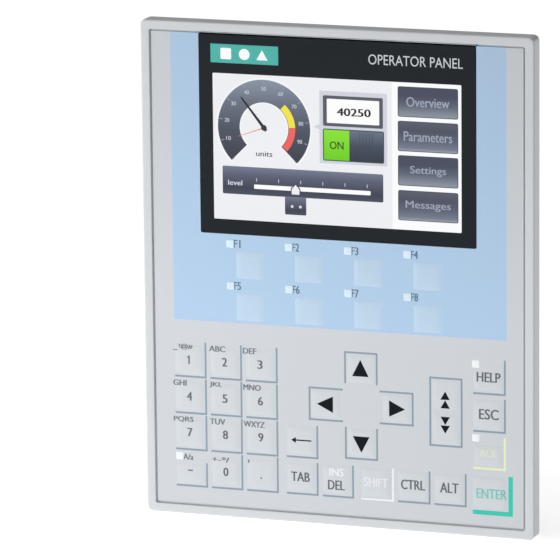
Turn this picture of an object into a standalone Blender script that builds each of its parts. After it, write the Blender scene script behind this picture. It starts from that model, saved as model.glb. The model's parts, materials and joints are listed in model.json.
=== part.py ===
# Operator panel with a 4.3 inch colour display and 36 membrane keys, built into a cabinet door.
# X runs to the right of the front, Z up, Y into the cabinet. All sizes are in millimetres until
# a mesh is made. Y = 0 is the plane where the flange of the front frame meets the door.

import math

import bmesh
import bpy
from mathutils import Vector

MM = 0.001
GAP = 0.3  # clearance between neighbouring pieces

# Front frame
FRONT_W, FRONT_H = 152.0, 188.0
FRONT_R = 2.2
FRAME_FRONT, PLATE_FRONT, PLATE_BACK = -7.0, -5.7, -3.2
RECESS_W, RECESS_H = 144.8, 180.8
CAVITY_W, CAVITY_H = 130.0, 165.0
WELL_FLOOR = -4.4
POCKET_FLOOR = -4.6
GROOVE = {"inner": (139.0, 175.0), "outer": (146.4, 182.4), "floor": -1.2}
CHAMFER = ((-7.0, 0.7), (-6.8, 0.25), (-6.3, 0.0))  # depth and inset of the rounded front edge

# Foil, display and touch sensor
FOIL = {"front": -6.5, "back": -6.0}
FOIL_R = 1.0
WINDOW = (-53.1, 54.1, 14.3, 90.1)
WINDOW_BACK = -4.9
APERTURE = (-50.1, 50.7, 17.6, 77.1)
TOUCH = {"front": -4.6, "back": -3.2}
LCD = {"box": (-51.7, 52.3, 14.85, 79.85), "front": -2.9, "back": -1.5}
BACKLIGHT = {"box": (-54.4, 55.0, 14.3, 80.4), "front": -1.2, "back": 1.6}
BRACKET = {"box": (-55.5, 56.1, 13.2, 81.5), "sheet": 0.8, "lip": -2.9, "back": 2.7}
EAR = {"reach": 61.6, "half": 3.0, "hole": 1.5}

# Keys: a cap in the foil, a stem through the plate, and 0.5 mm of travel onto a snap dome
KEY = {"front": -6.8, "edge": -6.5, "shoulder": -5.2, "end": -2.0, "ease": 0.35}
KEY_R = 1.1
STEM = 4.8
STEM_HOLE = 5.6
TRAVEL = 0.5
DOME = {"radius": 4.0, "flat": 1.6, "top": KEY["end"] + TRAVEL + GAP}
DOME_SHEET = {"front": -0.9, "back": -0.6}
LED = 2.6
LED_HOLE = LED + 2 * GAP
GUIDE = {"front": -2.9, "back": -1.7}

KEYPAD_BOARD = {"box": (-64.4, 64.4, -82.0, 12.6), "front": -0.3, "back": 1.3}
PEG_R, PEG_HOLE_R = 1.2, 1.5
PEGS = ((-51.5, 3.0), (51.5, 3.0), (-51.5, -41.4), (-22.3, -48.0), (9.0, -47.7), (49.5, -66.0))
PEG_END = 1.9
EAR_PEGS = ((-58.6, 25.0), (-58.6, 70.0), (59.2, 25.0), (59.2, 70.0))
EAR_PEG_END = 3.3
BOSSES = ((-60.5, 78.5), (60.5, 78.5), (-56.5, -70.0), (56.5, -70.0))
BOSS = {"radius": 3.2, "bore": 1.7, "end": 9.4, "floor": -1.0}

# Rear housing: a base 12 mm deep, and a narrower box over it that leaves a ledge for the screws
BASE_W, BASE_H, BASE_R = 134.0, 170.0, 3.0
BOX_W, BOX_R = 104.0, 2.0
WALL = 2.3
BASE_FRONT, BASE_BACK, BACK = 0.3, 12.0, 32.0
BACK_EASE = ((28.5, 0.0), (32.0, 3.0))
VENT = {"width": 2.2, "pitch": 5.0, "depth": (12.0, 26.0), "top": 13, "bottom": 5}
CLAMP = {"z": (-42.0, 42.0), "length": 12.0, "depth": (5.0, 8.0)}
POSTS = ((-44.5, 60.0), (44.5, 60.0), (-44.5, -56.0), (44.5, -56.0))
POST_R = 3.0
PLATE_LABEL = {"box": (-34.0, 34.0, 14.0, 50.0), "front": 31.4, "back": 31.9}

MAIN_BOARD = {"box": (-49.0, 49.0, -81.5, 68.0), "front": 8.0, "back": 9.6}
BOARD_PLUG = (-12.0, 12.0, -33.0, -27.5)
CHIPS = (
    ((-16.0, 11.0, -2.0, 25.0), 1.6),
    ((-38.0, -26.0, 4.0, 18.0), 1.2),
    ((22.0, 34.0, 4.0, 18.0), 1.2),
    ((-20.0, -9.0, -26.0, -15.0), 1.4),
    ((8.0, 24.0, -28.0, -14.0), 2.4),
    ((-42.0, -32.0, -50.0, -40.0), 5.0),
    ((32.0, 42.0, -40.0, -30.0), 4.0),
)
CAPACITORS = ((-24.0, -46.0), (-24.0, -58.0), (40.0, 52.0))
CAPACITOR = {"radius": 4.0, "height": 10.5}

SOCKET_FRONT_Z = -84.6
SOCKETS = {
    "power_socket": {
        "outer": (-44.0, -29.0, 9.9, 19.3), "length": 12.0,
        "hollow": (-42.6, -30.4, 11.3, 17.9), "depth": 9.0,
    },
    "ethernet_socket": {
        "outer": (2.0, 18.0, 9.9, 23.4), "length": 21.0,
        "hollow": (4.1, 15.9, 12.3, 20.9), "depth": 13.0,
    },
    "usb_host_socket": {
        "outer": (28.0, 42.4, 9.9, 17.0), "length": 14.0,
        "hollow": (28.7, 41.7, 10.7, 16.2), "depth": 9.5,
    },
}
POWER_PINS = (-40.5, -36.5, -32.5)
USB_TONGUE = (29.6, 40.8, 13.6, 15.2)

# Key grid of the front
NUMBER_X, NUMBER_Z, NUMBER_STEP = -64.2, -40.15, 14.05
NUMBER_SIZE = (11.4, 11.5)
FUNCTION_LED_X, FUNCTION_LED_Z, FUNCTION_STEP = -41.7, (10.95, -5.05), 23.0
FUNCTION_KEY = (2.3, 11.0, -13.25, -2.65)  # start and width in X, low and high side in Z from the LED
LED_RIGHT = ((53.5, -28.5), (53.5, -56.4))
LED_LEFT = (-62.7, -71.6)

KEYS = {
    "key_case": (-64.2, -52.8, -82.3, -74.3),
    "key_0": (-50.15, -38.75, -82.3, -70.8),
    "key_point": (-36.1, -24.7, -82.3, -70.8),
    "key_backspace": (-20.3, -9.0, -68.1, -56.7),
    "key_tab": (-20.3, -9.0, -82.2, -70.9),
    "key_insert": (-6.2, 4.9, -82.2, -70.9),
    "key_shift": (8.9, 20.5, -82.2, -70.9),
    "key_ctrl": (23.2, 34.8, -82.2, -70.9),
    "key_alt": (37.4, 48.8, -82.2, -70.9),
    "key_enter": (52.3, 65.4, -83.3, -70.9),
    "key_help": (52.4, 63.8, -38.9, -31.2),
    "key_esc": (52.4, 63.8, -53.2, -41.7),
    "key_ack": (52.4, 63.8, -67.2, -59.1),
    "key_up": (3.6, 14.5, -39.0, -28.1),
    "key_left": (-10.4, 0.9, -53.2, -42.4),
    "key_right": (17.2, 28.4, -53.0, -42.2),
    "key_down": (3.7, 14.6, -67.1, -56.2),
    "key_page_up": (36.6, 47.4, -47.0, -35.2),
    "key_page_down": (36.6, 47.4, -60.1, -48.4),
}
for number in range(9):
    left = NUMBER_X + NUMBER_STEP * (number % 3)
    low = NUMBER_Z - NUMBER_STEP * (number // 3)
    KEYS[f"key_{number + 1}"] = (left, left + NUMBER_SIZE[0], low, low + NUMBER_SIZE[1])
for number in range(8):
    start, width, below, above = FUNCTION_KEY
    left = FUNCTION_LED_X + FUNCTION_STEP * (number % 4) + start
    level = FUNCTION_LED_Z[number // 4]
    KEYS[f"key_f{number + 1}"] = (left, left + width, level + below, level + above)

FUNCTION_LEDS = [
    [(FUNCTION_LED_X + FUNCTION_STEP * column, level) for column in range(4)]
    for level in FUNCTION_LED_Z
]
ALL_LEDS = [*FUNCTION_LEDS[0], *FUNCTION_LEDS[1], *LED_RIGHT, LED_LEFT]

LOOKS = {  # base colour, roughness, metallic
    "frame": ((0.62, 0.65, 0.68), 0.45, 0.0),
    "foil": ((0.60, 0.65, 0.70), 0.5, 0.0),
    "key": ((0.64, 0.69, 0.74), 0.5, 0.0),
    "function_key": ((0.42, 0.60, 0.80), 0.5, 0.0),
    "window": ((0.015, 0.018, 0.022), 0.15, 0.0),
    "glass": ((0.10, 0.13, 0.14), 0.08, 0.0),
    "lcd": ((0.75, 0.77, 0.82), 0.2, 0.0),
    "backlight": ((0.85, 0.85, 0.82), 0.4, 0.0),
    "steel": ((0.55, 0.56, 0.57), 0.35, 1.0),
    "dome": ((0.70, 0.62, 0.42), 0.3, 0.3),
    "board": ((0.02, 0.16, 0.07), 0.4, 0.0),
    "guide": ((0.88, 0.90, 0.90), 0.15, 0.0),
    "gasket": ((0.02, 0.02, 0.022), 0.8, 0.0),
    "housing": ((0.30, 0.32, 0.34), 0.55, 0.0),
    "connector": ((0.02, 0.02, 0.02), 0.45, 0.0),
    "terminal": ((0.03, 0.22, 0.10), 0.45, 0.0),
    "shield": ((0.66, 0.66, 0.65), 0.3, 1.0),
    "label": ((0.75, 0.76, 0.77), 0.35, 0.0),
}

for old in list(bpy.data.objects):
    bpy.data.objects.remove(old)


def rect(box):
    x0, x1, z0, z1 = box
    return [(x0, z0), (x1, z0), (x1, z1), (x0, z1)]


def grown(box, by):
    return (box[0] - by, box[1] + by, box[2] - by, box[3] + by)


def centred(width, height, at=(0.0, 0.0)):
    return (at[0] - width / 2, at[0] + width / 2, at[1] - height / 2, at[1] + height / 2)


def middle(box):
    return ((box[0] + box[1]) / 2, (box[2] + box[3]) / 2)


def filleted(points, radius, steps):
    # Every corner is square, so the two radii that meet its arc are at right angles.
    rounded = []
    for i, point in enumerate(points):
        corner = Vector(point)
        back = (Vector(points[i - 1]) - corner).normalized() * radius
        ahead = (Vector(points[(i + 1) % len(points)]) - corner).normalized() * radius
        for step in range(steps + 1):
            angle = math.pi / 2 * step / steps
            reach = -ahead * math.cos(angle) - back * math.sin(angle)
            rounded.append(tuple(corner + back + ahead + reach))
    return rounded


def round_rect(box, radius, steps=2):
    return filleted(rect(box), radius, steps)


def circle(at, radius, sides=12):
    turns = [2 * math.pi * (i + 0.5) / sides for i in range(sides)]
    return [(at[0] + radius * math.cos(t), at[1] + radius * math.sin(t)) for t in turns]


def loft(mesh, rings):
    # rings: (depth, outline) pairs whose outlines have the same number of points
    rows = [[mesh.verts.new((x, y, z)) for x, z in outline] for y, outline in rings]
    for near, far in zip(rows, rows[1:]):
        for i in range(len(near)):
            j = (i + 1) % len(near)
            mesh.faces.new((near[i], near[j], far[j], far[i]))
    mesh.faces.new(rows[0])
    mesh.faces.new(rows[-1])


def prism(mesh, outline, front, back):
    loft(mesh, [(front, outline), (back, outline)])


def box_solid(mesh, x, y, z):
    prism(mesh, rect((x[0], x[1], z[0], z[1])), y[0], y[1])


def ring_prism(mesh, inner, outer, front, back):
    rows = [
        [mesh.verts.new((x, y, z)) for x, z in outline]
        for outline, y in ((inner, front), (outer, front), (outer, back), (inner, back))
    ]
    for near, far in zip(rows, rows[1:] + rows[:1]):
        for i in range(len(near)):
            j = (i + 1) % len(near)
            mesh.faces.new((near[i], near[j], far[j], far[i]))


def material(look):
    if look in bpy.data.materials:
        return bpy.data.materials[look]
    colour, roughness, metallic = LOOKS[look]
    made = bpy.data.materials.new(look)
    made.use_nodes = True
    shader = made.node_tree.nodes["Principled BSDF"]
    shader.inputs["Base Color"].default_value = (*colour, 1.0)
    shader.inputs["Roughness"].default_value = roughness
    shader.inputs["Metallic"].default_value = metallic
    made.diffuse_color = (*colour, 1.0)
    return made


def add(name, shape, look=None, at=(0.0, 0.0, 0.0)):
    # shape fills a bmesh in millimetres of the panel's frame, and "at" becomes the origin
    mesh = bmesh.new()
    shape(mesh)
    for vertex in mesh.verts:
        vertex.co = (vertex.co - Vector(at)) * MM
    bmesh.ops.recalc_face_normals(mesh, faces=mesh.faces)
    data = bpy.data.meshes.new(name)
    mesh.to_mesh(data)
    mesh.free()
    piece = bpy.data.objects.new(name, data)
    piece.location = Vector(at) * MM
    bpy.context.scene.collection.objects.link(piece)
    if look:
        own = material(look).copy()
        own.name = name
        data.materials.append(own)
    return piece


def combine(piece, operation, shape):
    tool = add(f"{piece.name}_{operation.lower()}_{len(piece.modifiers)}", shape)
    tool.hide_render = True
    tool.display_type = "WIRE"
    step = piece.modifiers.new(operation.title(), "BOOLEAN")
    step.operation = operation
    step.solver = "EXACT"
    step.object = tool


def cut(piece, shape):
    combine(piece, "DIFFERENCE", shape)


def join(piece, shape):
    combine(piece, "UNION", shape)


def prisms(outlines, front, back):
    def shape(mesh):
        for outline in outlines:
            prism(mesh, outline, front, back)

    return shape


def boxes(sizes):
    def shape(mesh):
        for x, y, z in sizes:
            box_solid(mesh, x, y, z)

    return shape


# Front frame

def frame_block(mesh):
    rings = [
        (depth, round_rect(centred(FRONT_W - 2 * inset, FRONT_H - 2 * inset), FRONT_R - inset, 3))
        for depth, inset in CHAMFER
    ]
    loft(mesh, [*rings, (0.0, rings[-1][1])])


def frame_wells(mesh):
    floor = PLATE_BACK + 0.1
    top = PLATE_FRONT - 0.1
    pocket = rect(grown(WINDOW, GAP))
    loft(mesh, [(top, pocket), (POCKET_FLOOR, pocket), (POCKET_FLOOR, rect(APERTURE)), (floor, rect(APERTURE))])
    for box in KEYS.values():
        well = round_rect(grown(box, GAP), KEY_R + GAP)
        hole = round_rect(centred(STEM_HOLE, STEM_HOLE, middle(box)), 0.8)
        loft(mesh, [(top, well), (WELL_FLOOR, well), (WELL_FLOOR, hole), (floor, hole)])
    for at in ALL_LEDS:
        prism(mesh, rect(centred(LED_HOLE, LED_HOLE, at)), top, floor)


def frame_posts(mesh):
    start = PLATE_BACK - 0.6
    for at in BOSSES:
        prism(mesh, circle(at, BOSS["radius"]), start, BOSS["end"])
    for at in PEGS:
        prism(mesh, circle(at, PEG_R, 8), start, PEG_END)
    for at in EAR_PEGS:
        prism(mesh, circle(at, PEG_R, 8), start, EAR_PEG_END)


def gasket_groove(mesh):
    inner = round_rect(centred(*GROOVE["inner"]), FRONT_R, 3)
    outer = round_rect(centred(*GROOVE["outer"]), FRONT_R, 3)
    ring_prism(mesh, inner, outer, GROOVE["floor"], 0.5)


frame = add("front_frame", frame_block, "frame")
cut(frame, prisms([round_rect(centred(RECESS_W, RECESS_H), FOIL_R + GAP)], FRAME_FRONT - 1, PLATE_FRONT))
cut(frame, prisms([round_rect(centred(CAVITY_W, CAVITY_H), 2.0)], PLATE_BACK, 1.0))
cut(frame, gasket_groove)
cut(frame, frame_wells)
join(frame, frame_posts)
cut(frame, prisms([circle(at, BOSS["bore"]) for at in BOSSES], BOSS["floor"], BOSS["end"] + 1))


# Foil, window, touch sensor and display

foil_size = (RECESS_W - 2 * GAP, RECESS_H - 2 * GAP)
foil = add("front_foil", prisms([round_rect(centred(*foil_size), FOIL_R)], FOIL["front"], FOIL["back"]), "foil")
notch = grown(WINDOW, GAP)
foil_openings = [rect((notch[0], notch[1], notch[2], foil_size[1] / 2 + 1))]
foil_openings += [round_rect(grown(box, GAP), KEY_R + GAP) for box in KEYS.values()]
foil_openings += [rect(centred(LED_HOLE, LED_HOLE, at)) for at in ALL_LEDS]
cut(foil, prisms(foil_openings, FOIL["front"] - 1, FOIL["back"] + 1))

window_outline = round_rect(WINDOW, 0.6)
add("display_window", prisms([window_outline], FOIL["front"], WINDOW_BACK), "window")
touch_outline = rect(grown(APERTURE, -GAP))
add("touch_sensor", prisms([touch_outline], TOUCH["front"], TOUCH["back"]), "glass")
add("lcd_panel", prisms([rect(LCD["box"])], LCD["front"], LCD["back"]), "lcd")
backlight_outline = round_rect(BACKLIGHT["box"], 1.0)
add("backlight_unit", prisms([backlight_outline], BACKLIGHT["front"], BACKLIGHT["back"]), "backlight")


def bracket_ears(mesh):
    low = BRACKET["back"] - BRACKET["sheet"]
    for x, z in EAR_PEGS:
        side = math.copysign(1.0, x)
        edge = BRACKET["box"][0 if x < 0 else 1] - 2.0 * side
        tip = EAR["reach"] * side
        ear = (min(edge, tip), max(edge, tip), z - EAR["half"], z + EAR["half"])
        prism(mesh, rect(ear), low, BRACKET["back"])


bracket = add("lcd_bracket", prisms([rect(BRACKET["box"])], BRACKET["lip"], BRACKET["back"]), "steel")
bracket_hollow = rect(grown(BRACKET["box"], -BRACKET["sheet"]))
cut(bracket, prisms([bracket_hollow], BRACKET["lip"] - 1, BRACKET["back"] - BRACKET["sheet"]))
join(bracket, bracket_ears)
bracket_holes = [circle(at, EAR["hole"], 8) for at in EAR_PEGS]
bracket_holes += [rect(centred(9.0, 9.0, (x, z))) for x in (-38.0, 0.3, 38.6) for z in (28.0, 66.0)]
cut(bracket, prisms(bracket_holes, 0.0, BRACKET["back"] + 1))


# Keys

def key_shape(box):
    def shape(mesh):
        stem = round_rect(centred(STEM, STEM, middle(box)), 0.6)
        cap = round_rect(box, KEY_R)
        crown = round_rect(grown(box, -KEY["ease"]), KEY_R - KEY["ease"])
        loft(mesh, [
            (KEY["front"], crown), (KEY["edge"], cap), (KEY["shoulder"], cap),
            (KEY["shoulder"], stem), (KEY["end"], stem),
        ])

    return shape


for name, box in KEYS.items():
    look = "function_key" if name.startswith("key_f") else "key"
    x, z = middle(box)
    key = add(name, key_shape(box), look, (x, KEY["shoulder"], z))


# Snap domes, keypad board and light guides

board_holes = [circle(at, PEG_HOLE_R, 8) for at in PEGS]
board_holes += [circle(at, BOSS["radius"] + GAP) for at in BOSSES[2:]]


def domes(mesh):
    sunk = DOME_SHEET["front"] + 0.15
    for box in KEYS.values():
        at = middle(box)
        loft(mesh, [
            (sunk, circle(at, DOME["radius"], 8)), (DOME_SHEET["front"], circle(at, DOME["radius"], 8)),
            (DOME["top"], circle(at, DOME["flat"], 8)),
        ])


sheet = add(
    "dome_sheet",
    prisms([rect(grown(KEYPAD_BOARD["box"], -0.4))], DOME_SHEET["front"], DOME_SHEET["back"]), "dome",
)
join(sheet, domes)
sheet_holes = board_holes + [rect(centred(3.0, 3.0, at)) for at in ALL_LEDS[:-1]]
cut(sheet, prisms(sheet_holes, DOME_SHEET["front"] - 1, DOME_SHEET["back"] + 1))

keypad = add(
    "keypad_board",
    prisms([rect(KEYPAD_BOARD["box"])], KEYPAD_BOARD["front"], KEYPAD_BOARD["back"]), "board",
)
plug_middle = (KEYPAD_BOARD["back"] + MAIN_BOARD["front"]) / 2
join(keypad, prisms([rect(BOARD_PLUG)], KEYPAD_BOARD["back"] - 0.5, plug_middle - GAP / 2))
cut(keypad, prisms(board_holes, KEYPAD_BOARD["front"] - 1, KEYPAD_BOARD["back"] + 1))


def light_guide(name, leds):
    xs = [x for x, z in leds]
    zs = [z for x, z in leds]
    bar = grown((min(xs), max(xs), min(zs), max(zs)), LED / 2)
    guide = add(name, prisms([rect(bar)], GUIDE["front"], GUIDE["back"]), "guide")
    inset = 0.02 if len(leds) > 1 else 0.0
    tips = [rect(centred(LED - inset, LED - inset, at)) for at in leds]
    join(guide, prisms(tips, FOIL["front"], GUIDE["front"] + 0.5))


light_guide("led_guide_upper", FUNCTION_LEDS[0])
light_guide("led_guide_lower", FUNCTION_LEDS[1])
light_guide("led_guide_right", LED_RIGHT)
tip = rect(centred(LED, LED, LED_LEFT))
add("led_guide_left", prisms([tip], FOIL["front"], GUIDE["back"]), "guide")


# Gasket

def gasket_ring(mesh):
    inner = [side + 2 * GAP for side in GROOVE["inner"]]
    outer = [side - 2 * GAP for side in GROOVE["outer"]]
    ring_prism(
        mesh, round_rect(centred(*inner), FRONT_R + GAP, 3), round_rect(centred(*outer), FRONT_R - GAP, 3),
        GROOVE["floor"] + GAP, 0.6,
    )


add("panel_gasket", gasket_ring, "gasket")


# Rear housing

def box_outline(inset):
    return round_rect(centred(BOX_W - 2 * inset, BASE_H - 2 * inset), BOX_R)


def housing_base(mesh):
    outline = round_rect(centred(BASE_W, BASE_H), BASE_R, 3)
    prism(mesh, outline, BASE_FRONT, BASE_BACK)


def housing_box(mesh):
    rings = [(BASE_BACK - 1.5, 0.0), *BACK_EASE]
    loft(mesh, [(depth, box_outline(inset)) for depth, inset in rings])


def housing_hollow(mesh):
    rings = [(BASE_BACK - WALL - 1.0, WALL), (BACK_EASE[0][0] - 1.0, WALL), (BACK - WALL, WALL + 2.6)]
    loft(mesh, [(depth, box_outline(inset)) for depth, inset in rings])


def vent_slots(mesh):
    depth = VENT["depth"]
    for side, count, centre in ((1, VENT["top"], 0.0), (-1, VENT["bottom"], -16.0)):
        wall = sorted((side * (BASE_H / 2 - WALL - 1), side * (BASE_H / 2 + 1)))
        for i in range(count):
            x = centre + VENT["pitch"] * (i - (count - 1) / 2)
            box_solid(mesh, (x - VENT["width"] / 2, x + VENT["width"] / 2), depth, wall)


def clamp_slots(mesh):
    half = CLAMP["length"] / 2
    for side in (-1, 1):
        wall = sorted((side * (BASE_W / 2 - WALL - 1), side * (BASE_W / 2 + 1)))
        for z in CLAMP["z"]:
            box_solid(mesh, wall, CLAMP["depth"], (z - half, z + half))


def port_holes(mesh):
    wall = (-BASE_H / 2 - 1, -BASE_H / 2 + WALL + 1)
    for socket in SOCKETS.values():
        x0, x1, y0, y1 = grown(socket["outer"], GAP)
        box_solid(mesh, (x0, x1), (y0, y1), wall)


def board_posts(mesh):
    for at in POSTS:
        foot = circle(at, POST_R)
        tip = circle(at, PEG_R)
        top = MAIN_BOARD["back"] + GAP
        loft(mesh, [(BACK - 1.0, foot), (top, foot), (top, tip), (MAIN_BOARD["front"] - 1.0, tip)])


housing = add("rear_housing", housing_base, "housing")
join(housing, housing_box)
cut(housing, prisms([round_rect(centred(BASE_W - 2 * WALL, BASE_H - 2 * WALL), 1.0)], -1.0, BASE_BACK - WALL))
cut(housing, housing_hollow)
join(housing, board_posts)
cut(housing, vent_slots)
cut(housing, clamp_slots)
cut(housing, port_holes)
cut(housing, prisms([circle(at, BOSS["bore"]) for at in BOSSES], BASE_BACK - WALL - 1, BASE_BACK + 1))
label_seat = rect(grown(PLATE_LABEL["box"], GAP))
cut(housing, prisms([label_seat], PLATE_LABEL["front"] - GAP, BACK + 1))
add("rating_plate", prisms([rect(PLATE_LABEL["box"])], PLATE_LABEL["front"], PLATE_LABEL["back"]), "label")


# Housing screws

def screw_shape(at):
    def shape(mesh):
        shank, head, crown = circle(at, 1.4), circle(at, 2.7), circle(at, 2.4)
        drive = circle(at, 1.25)
        seat = BASE_BACK + GAP
        loft(mesh, [
            (BOSS["floor"] + GAP, shank), (seat, shank), (seat, head), (seat + 1.6, head),
            (seat + 2.0, crown), (seat + 2.0, drive), (seat + 0.8, drive),
        ])

    return shape


for number, (x, z) in enumerate(BOSSES, 1):
    add(f"housing_screw_{number}", screw_shape((x, z)), "steel", (x, BASE_BACK, z))


# Main board and its sockets

def main_parts(mesh):
    back = MAIN_BOARD["back"]
    for box, height in CHIPS:
        prism(mesh, rect(box), back - 0.5, back + height)
    for at in CAPACITORS:
        prism(mesh, circle(at, CAPACITOR["radius"]), back - 0.5, back + CAPACITOR["height"])
    prism(mesh, rect(BOARD_PLUG), plug_middle + GAP / 2, MAIN_BOARD["front"] + 0.5)


main_outline = rect(MAIN_BOARD["box"])
main = add("main_board", prisms([main_outline], MAIN_BOARD["front"], MAIN_BOARD["back"]), "board")
join(main, main_parts)
cut(main, prisms([circle(at, PEG_HOLE_R, 8) for at in POSTS], MAIN_BOARD["front"] - 1, MAIN_BOARD["back"] + 1))


def socket_block(name, look):
    socket = SOCKETS[name]
    x0, x1, y0, y1 = socket["outer"]
    back = SOCKET_FRONT_Z + socket["length"]
    block = add(name, boxes([((x0, x1), (y0, y1), (SOCKET_FRONT_Z, back))]), look)
    x0, x1, y0, y1 = socket["hollow"]
    floor = SOCKET_FRONT_Z + socket["depth"]
    cut(block, boxes([((x0, x1), (y0, y1), (SOCKET_FRONT_Z - 1, floor))]))
    return block


power = socket_block("power_socket", "terminal")
pin_depth = (SOCKET_FRONT_Z + 1.5, SOCKET_FRONT_Z + SOCKETS["power_socket"]["depth"] + 1)
join(power, boxes([((x - 0.6, x + 0.6), (14.0, 15.2), pin_depth) for x in POWER_PINS]))
network = socket_block("ethernet_socket", "shield")
latch = ((7.0, 13.0), (20.5, 22.2), (SOCKET_FRONT_Z - 1, SOCKET_FRONT_Z + 8.0))
cut(network, boxes([latch]))
usb = socket_block("usb_host_socket", "shield")
tongue_depth = (SOCKET_FRONT_Z + 1.0, SOCKET_FRONT_Z + SOCKETS["usb_host_socket"]["depth"] + 1)
join(usb, boxes([(USB_TONGUE[:2], USB_TONGUE[2:], tongue_depth)]))
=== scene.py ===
import json
import math

import bmesh
import bpy
from mathutils import Matrix, Vector

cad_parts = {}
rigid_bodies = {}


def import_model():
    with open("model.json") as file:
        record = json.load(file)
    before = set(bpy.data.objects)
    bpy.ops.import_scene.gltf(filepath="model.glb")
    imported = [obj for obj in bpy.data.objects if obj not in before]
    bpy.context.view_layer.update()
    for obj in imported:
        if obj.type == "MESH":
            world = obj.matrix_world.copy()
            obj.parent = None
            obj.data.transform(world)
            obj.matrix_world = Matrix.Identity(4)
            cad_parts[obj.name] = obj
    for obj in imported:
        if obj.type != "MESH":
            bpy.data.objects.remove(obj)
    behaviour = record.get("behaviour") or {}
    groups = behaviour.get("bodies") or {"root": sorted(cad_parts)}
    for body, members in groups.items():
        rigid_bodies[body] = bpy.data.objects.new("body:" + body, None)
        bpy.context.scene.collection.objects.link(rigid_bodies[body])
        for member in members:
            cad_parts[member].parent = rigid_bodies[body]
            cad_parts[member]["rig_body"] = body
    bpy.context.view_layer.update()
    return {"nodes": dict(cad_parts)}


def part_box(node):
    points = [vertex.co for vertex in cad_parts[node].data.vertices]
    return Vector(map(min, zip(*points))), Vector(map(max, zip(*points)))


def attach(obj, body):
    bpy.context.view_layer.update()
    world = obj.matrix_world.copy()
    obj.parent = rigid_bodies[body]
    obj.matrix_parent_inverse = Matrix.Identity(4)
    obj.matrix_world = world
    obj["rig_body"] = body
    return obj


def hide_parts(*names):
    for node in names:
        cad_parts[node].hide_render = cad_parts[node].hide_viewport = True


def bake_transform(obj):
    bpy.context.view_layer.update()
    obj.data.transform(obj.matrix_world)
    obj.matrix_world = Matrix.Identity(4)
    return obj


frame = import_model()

mm = 0.001  # the outlines below are in millimetres of the front: right, up, and depth into the cabinet

print("stage: camera and light")
view = {
    "place": (0.61619, -1.852838, 0.423987), "turn": 19.0748, "lift": 12.2917, "roll": -0.5748,
    "lens": 346.829, "sensor": 36.0, "farthest": 50.0,
}
studio = {
    "floor": -0.0941, "floorSize": 6.0, "floorGlow": 0.69, "world": 0.28, "slope": (-1.3, 0.0, 0.6),
    "key": 4.3, "keyPlace": (-0.8, -0.64, 0.1), "keySize": (0.5, 0.3),
}


def aimed(turn, lift, roll):  # a turn that looks back at the object from these angles
    back = Vector((math.sin(turn) * math.cos(lift), -math.cos(turn) * math.cos(lift), math.sin(lift)))
    right = Vector((0, 0, 1)).cross(back).normalized()
    up = back.cross(right)
    tipped = math.cos(roll) * right + math.sin(roll) * up
    return Matrix((tipped, back.cross(tipped), back)).transposed().to_4x4()


lens = bpy.data.cameras.new("viewCamera")
lens.sensor_width = view["sensor"]
lens.lens = view["lens"]
lens.clip_end = view["farthest"]
camera = bpy.data.objects.new("viewCamera", lens)
bpy.context.scene.collection.objects.link(camera)
camera.matrix_world = aimed(*(math.radians(view[part]) for part in ("turn", "lift", "roll")))
camera.location = view["place"]
bpy.context.scene.camera = camera
bpy.context.scene.view_settings.view_transform = "Standard"


def softbox(name, place, size, power):  # an area light that faces the middle of the object
    light = bpy.data.lights.new(name, "AREA")
    light.shape = "RECTANGLE"
    light.size, light.size_y = size
    light.energy = power
    lamp = bpy.data.objects.new(name, light)
    bpy.context.scene.collection.objects.link(lamp)
    lamp.location = place
    lamp.visible_camera = False
    lamp.rotation_euler = (Vector((0, 0, 0)) - Vector(place)).to_track_quat("-Z", "Y").to_euler()


softbox("keyLight", studio["keyPlace"], studio["keySize"], studio["key"])

world = bpy.data.worlds.new("studioWorld")
bpy.context.scene.world = world
world.use_nodes = True
sky = world.node_tree.nodes["Background"]
rays = world.node_tree.nodes.new("ShaderNodeLightPath")
ways = world.node_tree.nodes.new("ShaderNodeTexCoord")
slant = world.node_tree.nodes.new("ShaderNodeVectorMath")  # less light from the right, more from above
slant.operation = "DOT_PRODUCT"
slant.inputs[1].default_value = studio["slope"]
strength = world.node_tree.nodes.new("ShaderNodeMath")
strength.operation = "MULTIPLY_ADD"
strength.use_clamp = True
strength.inputs[1].default_value = studio["world"]
strength.inputs[2].default_value = studio["world"]
seen = world.node_tree.nodes.new("ShaderNodeMix")  # plain white where the camera sees it
seen.inputs["B"].default_value = 1.0
world.node_tree.links.new(ways.outputs["Generated"], slant.inputs[0])
world.node_tree.links.new(slant.outputs["Value"], strength.inputs[0])
world.node_tree.links.new(rays.outputs["Is Camera Ray"], seen.inputs["Factor"])
world.node_tree.links.new(strength.outputs[0], seen.inputs["A"])
world.node_tree.links.new(seen.outputs["Result"], sky.inputs["Strength"])
sky.inputs["Color"].default_value = (1.0, 1.0, 1.0, 1.0)


print("stage: materials")


def tone(red, green, blue):  # a screen colour in bytes as the linear colour of a shader
    parts = [value / 255 for value in (red, green, blue)]
    return (*(part / 12.92 if part <= 0.04045 else ((part + 0.055) / 1.055) ** 2.4 for part in parts), 1.0)


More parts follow.
